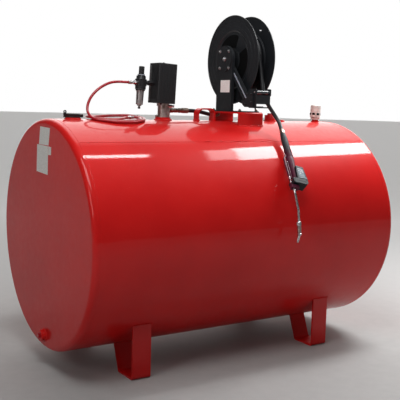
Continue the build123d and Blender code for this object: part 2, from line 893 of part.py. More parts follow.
with BuildPart() as meter:
    with BuildSketch(beside_handle(-22)):
        Polygon(
            (0, -257), (38, -262), (46, -335), (46, -360), (38, -368), (-30.5, -364), (-30.5, -338), (-6, -336), (-4, -300),
            align=None,
        )
    extrude(amount=50)
    fillet(meter.edges().filter_by(Axis((0, 0, 0), tuple(handle_y))).sort_by(SortBy.LENGTH)[-9:], 3)
    # clear of the casting
    with BuildSketch(on_handle(250)):
        Ellipse(15, 16)
    extrude(amount=86, mode=Mode.SUBTRACT)
    with BuildSketch(beside_handle(28)):
        Polygon((3, -268), (35, -272), (41, -326), (3, -324), align=None)
    extrude(amount=-1.2, mode=Mode.SUBTRACT)
meter.part.label = "meter"
export_step(meter.part, "parts/meter.step")

ext_0 = handle_0 + handle_z * 384 + handle_x * (-26)
ext_1 = Vector(*T(160, -596, 84))
with BuildPart() as extension_tube:
    with BuildLine() as ext_path:
        FilletPolyline(
            tuple(ext_0), tuple(ext_0 + handle_z * 24), tuple(ext_1 + Vector(-2, 6, 60)), tuple(ext_1),
            radius=[14, 40],
        )
    with BuildSketch(Plane(origin=ext_0, x_dir=handle_x, z_dir=ext_path.wire() % 0)):
        Circle(6)
    sweep(path=ext_path.wire())
extension_tube.part.label = "extension_tube"
export_step(extension_tube.part, "parts/extension_tube.step")

noz_dir = ext_path.wire() % 1
with BuildPart() as nozzle:
    noz = Plane(origin=ext_1, x_dir=(1, 0, 0), z_dir=noz_dir)
    with BuildSketch(noz):
        RegularPolygon(11.5, 6)
    extrude(amount=14)
    with BuildSketch(noz.offset(14)):
        Circle(9)
    extrude(amount=44)
    with BuildSketch(noz.offset(54)):
        Circle(10.5)
    extrude(amount=7)
    # the tip bends back towards the left head
    tip = Plane(origin=ext_1 + noz_dir * 56, x_dir=(1, 0, 0), z_dir=(-0.30, -0.06, -0.952))
    with BuildSketch(tip):
        Circle(7)
    with BuildSketch(tip.offset(40)):
        Circle(4.6)
    loft()
nozzle.part.label = "nozzle"
export_step(nozzle.part, "parts/nozzle.step")

# ---------------------------------------------------------------- vent
with BuildPart() as vent_cap:
    with BuildSketch(level(vent_x, 0, 545)):
        Circle(25)
    extrude(amount=12)
    with BuildSketch(leaning(vent_x - 2, 557, vent_lean)):
        Circle(vent_r)
    extrude(amount=68)
    fillet(vent_cap.faces().sort_by(Axis.Z)[-1].edges(), 5)
vent_cap.part.label = "vent_cap"
export_step(vent_cap.part, "parts/vent_cap.step")
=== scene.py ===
import json
import math
import random

import bmesh
import bpy
from mathutils import Matrix, Vector


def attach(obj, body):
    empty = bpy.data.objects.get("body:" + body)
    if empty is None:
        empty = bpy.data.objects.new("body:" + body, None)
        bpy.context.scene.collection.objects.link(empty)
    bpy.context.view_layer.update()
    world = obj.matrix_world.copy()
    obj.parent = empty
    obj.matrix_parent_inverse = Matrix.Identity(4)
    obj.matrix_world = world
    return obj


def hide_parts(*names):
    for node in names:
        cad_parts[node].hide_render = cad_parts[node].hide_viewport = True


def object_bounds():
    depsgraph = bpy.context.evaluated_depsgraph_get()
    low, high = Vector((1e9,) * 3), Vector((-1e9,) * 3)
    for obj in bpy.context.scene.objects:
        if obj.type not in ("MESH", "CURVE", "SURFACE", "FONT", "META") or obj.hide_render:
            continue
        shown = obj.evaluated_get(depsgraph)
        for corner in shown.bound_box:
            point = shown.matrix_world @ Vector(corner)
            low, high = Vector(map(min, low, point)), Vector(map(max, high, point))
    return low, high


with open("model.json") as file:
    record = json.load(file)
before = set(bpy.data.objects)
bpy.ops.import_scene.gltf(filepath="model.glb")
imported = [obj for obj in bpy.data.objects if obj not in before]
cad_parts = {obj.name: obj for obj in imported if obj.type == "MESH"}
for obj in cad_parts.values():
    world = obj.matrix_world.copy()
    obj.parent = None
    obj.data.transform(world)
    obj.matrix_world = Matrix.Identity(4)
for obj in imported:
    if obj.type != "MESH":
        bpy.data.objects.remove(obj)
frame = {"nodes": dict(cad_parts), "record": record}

nodes = frame["nodes"]


def corners():
    lo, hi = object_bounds()
    return [[float(v) for v in lo], [float(v) for v in hi]]


before = corners()


def P(x, y, z):
    """A point in millimetres from the middle of the tank's axis, in the row frame in metres."""
    return Vector(((x + 16.0) / 1000, (y + 41.6) / 1000, (z + 615.0) / 1000))


R = 0.5335
AXIS_Y, AXIS_Z = 0.0416, 0.615
scene = bpy.context.scene

# ------------------------------------------------------------------ camera
az, el, roll = math.radians(-33.11), math.radians(7.10), math.radians(1.50)
back = Vector((math.sin(az) * math.cos(el), -math.cos(az) * math.cos(el), math.sin(el)))
fwd = -back
right = fwd.cross(Vector((0, 0, 1))).normalized()
up = right.cross(fwd)
r2 = right * math.cos(roll) + up * math.sin(roll)
u2 = -right * math.sin(roll) + up * math.cos(roll)
cam_data = bpy.data.cameras.new("camera")
cam_data.lens = 70.22
cam_data.sensor_width = 36.0
cam_data.clip_start, cam_data.clip_end = 0.05, 200
cam = bpy.data.objects.new("camera", cam_data)
m = Matrix((r2, u2, back)).transposed().to_4x4()
m.translation = Vector((-2.1690, -3.3046, 1.2372))
cam.matrix_world = m
scene.collection.objects.link(cam)
scene.camera = cam
scene.view_settings.view_transform = "Standard"


# ------------------------------------------------------------------ materials
def new_mat(name, **sockets):
    mat = bpy.data.materials.new(name)
    mat.use_nodes = True
    nt = mat.node_tree
    b = nt.nodes["Principled BSDF"]
    for k, v in sockets.items():
        b.inputs[k.replace("_", " ")].default_value = v
    return mat, nt, b


def coords(nt, scale=(1, 1, 1), rot=(0, 0, 0), loc=(0, 0, 0)):
    tc = nt.nodes.new("ShaderNodeTexCoord")
    mp = nt.nodes.new("ShaderNodeMapping")
    mp.inputs["Scale"].default_value = scale
    mp.inputs["Rotation"].default_value = rot
    mp.inputs["Location"].default_value = loc
    nt.links.new(tc.outputs["Object"], mp.inputs["Vector"])
    return mp.outputs["Vector"]


def noise(nt, vec, scale, detail=4.0, rough=0.55, distort=0.0):
    n = nt.nodes.new("ShaderNodeTexNoise")
    n.inputs["Scale"].default_value = scale
    n.inputs["Detail"].default_value = detail
    n.inputs["Roughness"].default_value = rough
    n.inputs["Distortion"].default_value = distort
    nt.links.new(vec, n.inputs["Vector"])
    return n.outputs["Fac"]


def ramp(nt, fac, stops):
    r = nt.nodes.new("ShaderNodeValToRGB")
    e = r.color_ramp.elements
    while len(e) > 1:
        e.remove(e[-1])
    e[0].position, e[0].color = stops[0][0], (*stops[0][1], 1)
    for p, c in stops[1:]:
        x = e.new(p)
        x.color = (*c, 1)
    nt.links.new(fac, r.inputs["Fac"])
    return r.outputs["Color"]


def remap(nt, fac, a, b, c, d):
    r = nt.nodes.new("ShaderNodeMapRange")
    for k, v in (("From Min", a), ("From Max", b), ("To Min", c), ("To Max", d)):
        r.inputs[k].default_value = v
    nt.links.new(fac, r.inputs["Value"])
    return r.outputs["Result"]


def bump(nt, height, strength, distance, normal=None):
    n = nt.nodes.new("ShaderNodeBump")
    n.inputs["Strength"].default_value = strength
    n.inputs["Distance"].default_value = distance
    nt.links.new(height, n.inputs["Height"])
    if normal is not None:
        nt.links.new(normal, n.inputs["Normal"])
    return n.outputs["Normal"]


def math_node(nt, op, a, b=None):
    n = nt.nodes.new("ShaderNodeMath")
    n.operation = op
    for i, v in enumerate((a, b)):
        if v is None:
            continue
        if isinstance(v, (int, float)):
            n.inputs[i].default_value = v
        else:
            nt.links.new(v, n.inputs[i])
    return n.outputs[0]


def mix(nt, fac, a, b):
    n = nt.nodes.new("ShaderNodeMix")
    n.data_type = "RGBA"
    nt.links.new(fac, n.inputs[0])
    for v, s in ((a, n.inputs[6]), (b, n.inputs[7])):
        if isinstance(v, tuple):
            s.default_value = (*v, 1)
        else:
            nt.links.new(v, s)
    return n.outputs[2]


def gloss_paint(name, dark, light, base_rough, coat, coat_rough, streak=0.0, wave=0.0, spec=0.25, dust=None, peel=0.05):
    """Sprayed paint: slow colour drift, orange peel, faint streaks along the plate and specks of dust."""
    mat, nt, b = new_mat(name, Coat_Weight=coat, Coat_Roughness=coat_rough, Coat_IOR=1.45, Specular_IOR_Level=spec)
    flat = coords(nt)
    col = ramp(nt, noise(nt, flat, 2.2, 5, 0.6), [(0.3, dark), (0.7, light)])
    speck = remap(nt, noise(nt, flat, 340, 2, 0.5), 0.70, 0.76, 0.0, 1.0)
    if dust:
        patch = remap(nt, noise(nt, flat, 9, 4, 0.6), 0.50, 0.66, 0.0, 1.0)
        col = mix(nt, math_node(nt, "MULTIPLY", math_node(nt, "MULTIPLY", speck, patch), 0.55), col, dust)
    nt.links.new(col, b.inputs["Base Color"])
    nt.links.new(remap(nt, noise(nt, flat, 30, 5, 0.6), 0.3, 0.7, base_rough - 0.05, base_rough + 0.08), b.inputs["Roughness"])
    n = bump(nt, noise(nt, flat, 260, 3, 0.5), peel, 0.0006)
    if streak:
        n = bump(nt, noise(nt, coords(nt, (0.8, 42, 42)), 1.0, 5, 0.6), streak, 0.002, n)
    if wave:
        n = bump(nt, noise(nt, coords(nt, (1.6, 2.6, 2.6)), 1.0, 2, 0.4), wave, 0.01, n)
    nt.links.new(n, b.inputs["Normal"])
    nt.links.new(n, b.inputs["Coat Normal"])
    return mat


def metal(name, dark, light, rough, scale=60, metallic=1.0, bump_by=0.15, stain=None, grain=(1, 1, 1)):
    mat, nt, b = new_mat(name, Metallic=metallic)
    vec = coords(nt, grain)
    col = ramp(nt, noise(nt, vec, scale, 5, 0.6), [(0.3, dark), (0.72, light)])
    if stain:
        patch = remap(nt, noise(nt, coords(nt), 38, 4, 0.65), 0.5, 0.68, 0.0, 1.0)
        col = mix(nt, patch, col, stain)
    nt.links.new(col, b.inputs["Base Color"])
    nt.links.new(remap(nt, noise(nt, vec, scale * 1.7, 4, 0.6), 0.3, 0.7, rough - 0.08, rough + 0.12), b.inputs["Roughness"])
    nt.links.new(bump(nt, noise(nt, vec, scale * 5, 4, 0.6), bump_by, 0.0008), b.inputs["Normal"])
    return mat


def plastic(name, dark, light, rough, scale=120, bump_by=0.12, spec=0.4, coat=0.0):
    mat, nt, b = new_mat(name, Specular_IOR_Level=spec, Coat_Weight=coat, Coat_Roughness=0.12)
    vec = coords(nt)
    nt.links.new(ramp(nt, noise(nt, vec, scale, 5, 0.65), [(0.3, dark), (0.75, light)]), b.inputs["Base Color"])
    nt.links.new(remap(nt, noise(nt, vec, scale * 2, 3, 0.5), 0.3, 0.7, rough - 0.07, rough + 0.1), b.inputs["Roughness"])
    nt.links.new(bump(nt, noise(nt, vec, scale * 9, 3, 0.5), bump_by, 0.0005), b.inputs["Normal"])
    return mat


RED_D, RED_L = (0.50, 0.006, 0.006), (0.60, 0.010, 0.009)
mats = {
    "red_paint": gloss_paint("red_paint", RED_D, RED_L, 0.45, 0.5, 0.06, streak=0.06, wave=0.16, spec=0.08, dust=(0.75, 0.35, 0.33)),
    "red_plug_paint": gloss_paint("red_plug_paint", (0.30, 0.004, 0.012), (0.42, 0.008, 0.018), 0.4, 0.7, 0.12),
    "black_paint": gloss_paint("black_paint", (0.006, 0.007, 0.009), (0.013, 0.015, 0.018), 0.5, 0.35, 0.16, spec=0.3, dust=(0.20, 0.21, 0.23)),
    "cap_black": plastic("cap_black", (0.008, 0.008, 0.009), (0.022, 0.022, 0.024), 0.5),
    "black_plastic": plastic("black_plastic", (0.007, 0.007, 0.008), (0.018, 0.019, 0.021), 0.42),
    "pump_metal": metal("pump_metal", (0.34, 0.28, 0.26), (0.66, 0.58, 0.55), 0.42, 45, stain=(0.22, 0.16, 0.13)),
    "plated_steel": metal("plated_steel", (0.22, 0.15, 0.12), (0.46, 0.36, 0.30), 0.34, 70, stain=(0.20, 0.09, 0.06)),
    "bright_steel": metal("bright_steel", (0.42, 0.42, 0.43), (0.68, 0.68, 0.69), 0.26, 80),
    "bowl_metal": metal("bowl_metal", (0.26, 0.24, 0.24), (0.46, 0.43, 0.42), 0.38, 60, metallic=0.85),
    "red_rubber": plastic("red_rubber", (0.30, 0.004, 0.012), (0.46, 0.008, 0.020), 0.34, 70, spec=0.5, coat=0.25),
    "black_rubber": plastic("black_rubber", (0.006, 0.006, 0.008), (0.016, 0.017, 0.020), 0.46, 90, spec=0.5),
    "roller_plastic": plastic("roller_plastic", (0.015, 0.018, 0.022), (0.05, 0.06, 0.07), 0.22, 90, spec=0.6, coat=0.5),
    "vent_aluminium": metal("vent_aluminium", (0.70, 0.67, 0.62), (0.90, 0.87, 0.82), 0.46, 50, metallic=0.30, stain=(0.60, 0.56, 0.50)),
}


def handle_mat():
    """The grip's casting: black, with a dark red part above the guard that is a painted reflection of the red tank."""
    mat, nt, b = new_mat("handle_metal", Coat_Weight=0.06, Coat_Roughness=0.35, Specular_IOR_Level=0.22)
    tc = nt.nodes.new("ShaderNodeTexCoord")
    sep = nt.nodes.new("ShaderNodeSeparateXYZ")
    nt.links.new(tc.outputs["Object"], sep.inputs["Vector"])
    drift = math_node(nt, "MULTIPLY", math_node(nt, "SUBTRACT", noise(nt, coords(nt), 40, 3), 0.5), 0.02)
    z = math_node(nt, "ADD", sep.outputs["Z"], drift)
    # painted reflection: lower down the casting turns dark red, standing in for the red tank reflected in it
    low = remap(nt, z, 1.035, 1.005, 0.0, 1.0)
    black = ramp(nt, noise(nt, coords(nt), 110, 5, 0.65), [(0.3, (0.010, 0.012, 0.015)), (0.75, (0.028, 0.032, 0.038))])
    painted_tank_reflection = ramp(nt, noise(nt, coords(nt), 60, 5, 0.65), [(0.3, (0.050, 0.006, 0.018)), (0.75, (0.115, 0.012, 0.036))])
    nt.links.new(mix(nt, low, black, painted_tank_reflection), b.inputs["Base Color"])
    nt.links.new(remap(nt, noise(nt, coords(nt), 140, 3), 0.3, 0.7, 0.42, 0.60), b.inputs["Roughness"])
    nt.links.new(bump(nt, noise(nt, coords(nt), 700, 3), 0.12, 0.0006), b.inputs["Normal"])
    return mat


mats["handle_metal"] = handle_mat()
mats["label_pale"] = plastic("label_pale", (0.55, 0.53, 0.50), (0.78, 0.77, 0.74), 0.5, 160, 0.08, spec=0.3)
# near black: painted shade standing in for the dark inside openings
mats["dark_gap"] = plastic("dark_gap", (0.0012, 0.0013, 0.0014), (0.003, 0.0033, 0.0036), 0.75, 120, 0.1, spec=0.1)
# bluish grey; on the guide arm's edge it is a painted highlight
mats["edge_grey"] = plastic("edge_grey", (0.20, 0.22, 0.27), (0.42, 0.45, 0.52), 0.35, 90, 0.1, spec=0.4)
mats["post_plate"] = plastic("post_plate", (0.80, 0.78, 0.74), (0.96, 0.95, 0.93), 0.5, 160, 0.08, spec=0.3)
mats["meter_rim"] = plastic("meter_rim", (0.10, 0.13, 0.15), (0.20, 0.25, 0.28), 0.4, 160, 0.08, spec=0.2)
# lighter grey for a painted reflection along the cover's side
mats["cover_grey"] = plastic("cover_grey", (0.035, 0.036, 0.038), (0.11, 0.112, 0.115), 0.5, 140, 0.2, spec=0.4)
mats["display"] = plastic("display", (0.050, 0.085, 0.110), (0.120, 0.175, 0.215), 0.35, 260, 0.05, spec=0.25, coat=0.1)
mats["meter_plastic"] = plastic("meter_plastic", (0.004, 0.007, 0.009), (0.010, 0.018, 0.022), 0.45, 100, spec=0.2, coat=0.05)

record_slot = {}
for s in frame["record"].get("subparts", []):
    if s.get("material_slot"):
        record_slot[s.get("name") or s.get("node")] = s["material_slot"]
for name, o in nodes.items():
    want = record_slot.get(name)
    if want is None:
        names = [sl.material.name.split(".")[0] for sl in o.material_slots if sl.material]
        want = next((w for w in names if w in mats), "black_paint")
    if not o.material_slots:
        o.data.materials.append(mats[want])
    for sl in o.material_slots:
        sl.material = mats[want]


# ------------------------------------------------------------------ mesh helpers
def piece(name, bm, mat, body="root", smooth=35):
    me = bpy.data.meshes.new(name)
    bmesh.ops.recalc_face_normals(bm, faces=bm.faces[:])
    bm.to_mesh(me)
    bm.free()
    o = bpy.data.objects.new(name, me)
    scene.collection.objects.link(o)
    me.materials.append(mats[mat] if isinstance(mat, str) else mat)
    if smooth:
        for p in me.polygons:
            p.use_smooth = True
        me.set_sharp_from_angle(angle=math.radians(smooth))
    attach(o, body)
    return o


def frame_of(axis, ref=(0, 0, 1)):
    z = Vector(axis).normalized()
    ref = Vector(ref)
    if abs(z.dot(ref)) > 0.95:
        ref = Vector((1, 0, 0)) if abs(z.x) < 0.9 else Vector((0, 1, 0))
    x = ref.cross(z).normalized()
    y = z.cross(x)
    return x, y, z


def lathe(bm, origin, axis, profile, n=32, cap=True, ref=(0, 0, 1), phase=0.0):
    """A turned form: profile is a list of (along the axis, radius)."""
    x, y, z = frame_of(axis, ref)
    rings = []
    for h, r in profile:
        c = Vector(origin) + z * h
        rings.append([bm.verts.new(c + (x * math.cos(t) + y * math.sin(t)) * r) for t in (phase + 2 * math.pi * k / n for k in range(n))])
    for a, b in zip(rings, rings[1:]):
        for k in range(n):
            bm.faces.new((a[k], a[(k + 1) % n], b[(k + 1) % n], b[k]))
    if cap:
        bm.faces.new(rings[0][::-1])
        bm.faces.new(rings[-1])


def prism(bm, origin, axis, r, h, n=6, bevel=0.12, ref=(0, 0, 1), phase=0.0):
    """A hexagon or other prism with its top edges broken."""
    lathe(bm, origin, axis, [(0, r), (h * (1 - bevel), r), (h, r * (1 - bevel * 0.8))], n, True, ref, phase)


def hexbolt(bm, origin, axis, size, ref=(0, 0, 1), turn=0.0, washer=True):
    """A washer, a hexagon head and the end of its thread. size is the head's radius."""
    if washer:
        lathe(bm, origin, axis, [(0, size * 1.35), (size * 0.2, size * 1.35), (size * 0.26, size * 1.25)], 24, True, ref)
    a = Vector(axis).normalized()
    prism(bm, Vector(origin) + a * size * 0.24, axis, size, size * 0.8, 6, 0.15, ref, turn)
    lathe(bm, Vector(origin) + a * size * 1.04, axis, [(0, size * 0.45), (size * 0.22, size * 0.45), (size * 0.34, size * 0.32)], 16, True, ref)


def screw(bm, origin, axis, r, ref=(0, 0, 1)):
    """A domed screw head with a socket."""
    lathe(bm, origin, axis, [(0, r), (r * 0.25, r), (r * 0.5, r * 0.82), (r * 0.62, r * 0.45), (r * 0.4, r * 0.38)], 20, True, ref)


def slab(bm, centre, u, v, w, half):
    """A box with small chamfers. u, v and w are its directions, half its half sizes."""
    u, v, w = (Vector(d).normalized() for d in (u, v, w))
    a, b, c = half
    k = min(half) * 0.22
    loops = []
    for wz, inset in ((-c, k), (-c + k, 0), (c - k, 0), (c, k)):
        ring = []
        for sx, sy, swap in ((-1, -1, 0), (1, -1, 1), (1, 1, 0), (-1, 1, 1)):
            p1 = (sx * (a - inset), sy * (b - inset - k))
            p2 = (sx * (a - inset - k), sy * (b - inset))
            for q in ((p1, p2) if not swap else (p2, p1)):
                ring.append(bm.verts.new(Vector(centre) + u * q[0] + v * q[1] + w * wz))
        loops.append(ring)
    n = 8
    for p, q in zip(loops, loops[1:]):
        for i in range(n):
            bm.faces.new((p[i], p[(i + 1) % n], q[(i + 1) % n], q[i]))
    bm.faces.new(loops[0][::-1])
    bm.faces.new(loops[-1])


def tube(bm, points, radii, n=10, closed=False, ref=(0, 0, 1), flat=1.0):
    """A tube through the points. radii is one number or one for each point."""
    pts = [Vector(p) for p in points]
    m = len(pts)
    if not hasattr(radii, "__len__"):
        radii = [radii] * m
    rings = []
    last = None
    for i, p in enumerate(pts):
        a = pts[(i - 1) % m] if closed or i else pts[i]
        b = pts[(i + 1) % m] if closed or i < m - 1 else pts[i]
        t = (b - a).normalized()
        if last is None:
            x, y, _ = frame_of(t, ref)
        else:
            x = (last - t * last.dot(t)).normalized()
            y = t.cross(x)
        last = x
        rings.append([bm.verts.new(p + (x * math.cos(q) * flat + y * math.sin(q)) * radii[i]) for q in (2 * math.pi * k / n for k in range(n))])
    if closed:
        # turn the last ring to meet the first one
        first, end = rings[0], rings[-1]
        shift = min(range(n), key=lambda s: sum((first[k].co - end[(k + s) % n].co).length for k in range(n)))
        pairs = list(zip(rings, rings[1:]))
        for a, b in pairs:
            for k in range(n):
                bm.faces.new((a[k], a[(k + 1) % n], b[(k + 1) % n], b[k]))
        for k in range(n):
            bm.faces.new((end[(k + shift) % n], end[(k + 1 + shift) % n], first[(k + 1) % n], first[k]))
    else:
        for a, b in zip(rings, rings[1:]):
            for k in range(n):
                bm.faces.new((a[k], a[(k + 1) % n], b[(k + 1) % n], b[k]))
        bm.faces.new(rings[0][::-1])
        bm.faces.new(rings[-1])


def on_shell(x, phi, lift=0.0):
    """A point on the shell: x in mm from the middle, phi in degrees from the top towards the handle side, lift in m."""
    a = math.radians(phi)
    return Vector(((x + 16.0) / 1000, AXIS_Y - (R + lift) * math.sin(a), AXIS_Z + (R + lift) * math.cos(a)))


def crown(x, y, lift=0.0):
    """A point on the shell above or below (x, y), in mm from the middle of the tank's axis."""
    yy = y / 1000
    return Vector(((x + 16.0) / 1000, AXIS_Y + yy, AXIS_Z + math.sqrt((R + lift) ** 2 - yy * yy)))


rng = random.Random(7)


def ripple(n, r, amount=0.18, period=3):
    """Radii of a weld bead: overlapping ripples."""
    return [r * (1 + amount * math.sin(2 * math.pi * i / period) * 0.5 + amount * (rng.random() - 0.5)) for i in range(n)]


# ------------------------------------------------------------------ cords
def nurbs(name, points, radius, mat, resolution=12):
    cu = bpy.data.curves.new(name, "CURVE")
    cu.dimensions = "3D"
    cu.resolution_u = resolution
    cu.bevel_depth = radius
    cu.bevel_resolution = 5
    cu.use_fill_caps = True
    sp = cu.splines.new("NURBS")
    sp.points.add(len(points) - 1)
    for q, p in zip(sp.points, points):
        q.co = (*p, 1.0)
    sp.order_u = 3
    sp.use_endpoint_u = True
    cu.materials.append(mats[mat])
    o = bpy.data.objects.new(name, cu)
    scene.collection.objects.link(o)
    return o


def length_of(o):
    cu = o.data.copy()
    cu.bevel_depth = 0
    tmp = bpy.data.objects.new("tmp_line", cu)
    me = bpy.data.meshes.new_from_object(tmp)
    pts = [v.co.copy() for v in me.vertices]
    bpy.data.objects.remove(tmp)
    bpy.data.meshes.remove(me)
    bpy.data.curves.remove(cu)
    return sum((b - a).length for a, b in zip(pts, pts[1:])), pts


air_points = [
    P(-427.5, 0, 711.0), P(-449, 0, 711.0), P(-479, 0, 712.0), P(-521, -1, 708.0), P(-564, -1, 689.0),
    P(-598, -0.4, 664.5), P(-623, -0.4, 636.5), P(-637.5, -2.0, 609.0), P(-644.5, -7.0, 585.8),
    P(-646.5, -17.9, 565.7), P(-644.2, -34.8, 550.3), P(-638.8, -55.1, 539.9), P(-631.2, -76.1, 535.1),
]
# The loops on the crown: angle, reach along X, reach along Y and height over the crown.
for th, a, b, h in (
    (228, 148, 138, 1.0), (252, 148, 141, 2.5), (278, 148, 142, 3.0), (304, 148, 141, 2.0), (329, 149, 140, 0.5),
    (353, 149, 139, 1.5), (18, 147, 140, 10), (42, 146, 141, 21), (67, 143, 141, 24), (92, 138, 141, 22),
    (117, 134, 140, 19), (141, 131, 137, 11), (164, 130, 132, 7), (188, 129, 126, 4), (211, 129, 123, 2.0),
    (235, 129, 122, 1.5), (260, 131, 122, 1.5), (286, 133, 123, 2.0), (311, 134, 123, 1.5), (336, 133, 122, 0.6),
    (0, 131, 122, 2.0), (24, 129, 123, 10), (48, 128, 124, 19), (73, 126, 124, 21), (98, 122, 122, 18),
    (123, 118, 119, 11), (147, 114, 114, 4), (170, 111, 106, 1.0),
):
    q = math.radians(th)
    air_points.append(crown(-502 + a * math.cos(q), b * math.sin(q), (6.5 + h) / 1000))
for x, y, h in (
    (-614, -14, 0.6), (-607, -40, 0.6), (-588, -63, 0.6), (-558, -76, 0.6), (-524, -75, 0.6),
    (-495, -60, 0.7), (-474, -41, 1.4), (-456, -26, 2.8), (-441, -19, 3.0),
):
    air_points.append(crown(x, y, (6.5 + h) / 1000))
air_hose = nurbs("air_hose_run", air_points, 0.0065, "red_rubber")
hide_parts("air_hose", "air_hose_coil")
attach(air_hose, "root")
air_len, air_line = length_of(air_hose)

delivery_points = [
    P(222, -166, 870), P(222, -181, 803), P(223, -198, 727), P(226, -211, 660), P(245, -226, 617),
    P(266, -237, 583), P(280, -250, 556), P(285, -267, 534), P(281.5, -284, 512), P(276, -299, 497),
]
delivery = nurbs("delivery_hose_run", delivery_points, 0.010, "black_rubber")
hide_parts("delivery_hose")
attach(delivery, "root")
del_len, del_line = length_of(delivery)

# The hose on the drum: helical turns, three layers deep.
bm = bmesh.new()
for layer, (rad, x0, x1, turns) in enumerate(((0.140, 190.5, 258.5, 3.5), (0.1215, 199.5, 249.5, 2.6), (0.103, 190.5, 258.5, 3.5))):
    pts = []
    per = 72
    count = int(turns * per)
    for i in range(count + 1):
        t = i / per
        a = 2 * math.pi * t + layer * 1.9
        # each turn lies straight for most of its way and steps over to the next place near the back
        whole, part = divmod(t, 1.0)
        step = whole + max(0.0, min(1.0, (part - 0.55) / 0.4))
        x = x0 + (x1 - x0) * step / turns
        wob = 0.0009 * math.sin(3 * a + whole * 1.7) + 0.0006 * math.sin(5 * a + whole)
        c = P(x, 0, 846)
        pts.append(c + Vector((0, math.cos(a), math.sin(a))) * (rad + wob))
    tube(bm, pts, 0.0093 if layer else 0.0096, 12, ref=(1, 0, 0))
wound = piece("wound_hose_turns", bm, "black_rubber", "spool", 60)
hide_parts("wound_hose")
bm = bmesh.new()
lathe(bm, P(180.5, 0, 846), (1, 0, 0), [(0, 0.0705), (0.0, 0.094), (0.087, 0.094), (0.087, 0.0705)], 72, False)
piece("wound_hose_inner_layer", bm, "black_rubber", "spool", 40)

# ------------------------------------------------------------------ welds and small parts on the tank
R_MM = 533.5
box_hi_y = before[1][1]


def ring_weld(bm, x, y0, r, w, lift=0.0006):
    """A bead around a round coupling on the crown."""
    n = max(48, int(2 * math.pi * r / 2.2))
    pts = []
    for k in range(n):
        t = 2 * math.pi * k / n
        pts.append(crown(x + r * math.cos(t) * (1 + 0.012 * math.sin(3 * t + x)), y0 + r * math.sin(t) * (1 + 0.012 * math.sin(5 * t)), lift))
    tube(bm, pts, ripple(n, w, 0.4, 3), 8, closed=True)


def line_weld(bm, a, b, w, step=0.0024, dip=None):
    """A rippled bead from a to b, in the row frame, following dip(p) when given."""
    a, b = Vector(a), Vector(b)
    n = max(6, int((b - a).length / step))
    pts = []
    for i in range(n + 1):
        q = a.lerp(b, i / n)
        pts.append(dip(q) if dip else q)
    tube(bm, pts, ripple(n + 1, w, 0.4, 3), 8)


def on_crown(q):
    return crown(q.x * 1000 - 16.0, q.y * 1000 - 41.6, 0.0008)


bm = bmesh.new()
# the long seam, and where it was touched up
pts = [on_shell(x, 34 + 0.03 * math.sin(x * 0.05), -0.0004) for x in range(-814, 816, 4)]
tube(bm, pts, ripple(len(pts), 0.0015, 0.35, 3), 8)
for x0, x1 in ((-180, -150), (-96, -74), (-20, 20), (52, 70), (150, 168)):
    pts = [on_shell(x, 34 + 0.1 * math.sin(x), 0.0004) for x in range(x0, x1, 3)]
    tube(bm, pts, ripple(len(pts), 0.0026, 0.5, 2), 8)
# the beads where the heads meet the shell
for xe in (-816.7, 816.7):
    n = 420
    pts = []
    for k in range(n):
        t = 2 * math.pi * k / n
        rr = R - 0.0006
        y, z = rr * math.sin(t), rr * math.cos(t)
        if AXIS_Y + y + 0.0026 > box_hi_y:
            rr = R - 0.0026
            y, z = rr * math.sin(t), rr * math.cos(t)
        pts.append(Vector(((xe + 16.0) / 1000 + 0.0005 * math.sin(9 * t), AXIS_Y + y, AXIS_Z + z)))
    tube(bm, pts, ripple(n, 0.0013, 0.4, 3), 8, closed=True, ref=(1, 0, 0))
for x, r, w in ((-714, 35, 0.0036), (-235, 39.5, 0.0048), (433, 30.5, 0.0042), (510, 16, 0.0034), (754, 18.5, 0.0036)):
    ring_weld(bm, x, 0, r, w)
for x in (12 - 54 - 1.5, 12 - 46 + 1.5, 12 + 46 - 1.5, 12 + 54 + 1.5):
    line_weld(bm, crown(x, -21), crown(x, 21), 0.0034, dip=on_crown)
for y in (-151.5, 121.5):
    for x0, x1 in ((119, 168), (182, 222), (236, 268)):
        line_weld(bm, crown(x0, y), crown(x1, y), 0.0036, dip=on_crown)
for x in (118, 270):
    for y0, y1 in ((-151, -141), (111, 121)):
        line_weld(bm, crown(x, y0), crown(x, y1), 0.0032, dip=on_crown)
for x0 in (-592.25, 455.17):
    for s in (-1, 1):
        line_weld(bm, P(x0 + 1, s * 391.4, -362.4), P(x0 + 92, s * 391.4, -362.4), 0.0038)
        for xe in (x0 - 0.5, x0 + 93.5):
            line_weld(bm, P(xe, s * 391, -362.6), P(xe, s * 381, -372.4), 0.0032)
        line_weld(bm, P(x0 + 1, s * 203.0, -493.2), P(x0 + 92, s * 203.0, -493.2), 0.0034)
# around the drain coupling
pts = [P(-851.6, 28.0 * math.cos(t), -470 + 28.0 * math.sin(t)) for t in (2 * math.pi * k / 72 for k in range(72))]
tube(bm, pts, ripple(72, 0.0036, 0.4, 3), 8, closed=True, ref=(1, 0, 0))
piece("welds_red", bm, "red_paint", "root", 50)

# threads and faces of the couplings
bm = bmesh.new()
for z in (548, 553, 558):
    lathe(bm, P(433, 0, z), (0, 0, 1), [(0, 0.0288), (0.0012, 0.0296), (0.0024, 0.0288)], 40, False)
lathe(bm, P(433, 0, 565.6), (0, 0, 1), [(0, 0.0285), (0.0014, 0.0275), (0.0014, 0.0185), (0, 0.0178)], 40, False)
lathe(bm, P(510, 0, 540.6), (0, 0, 1), [(0, 0.0146), (0.002, 0.0132), (0.0026, 0.006), (0.0016, 0.0)][:3], 28)
piece("coupling_rims", bm, "red_plug_paint", "root", 40)

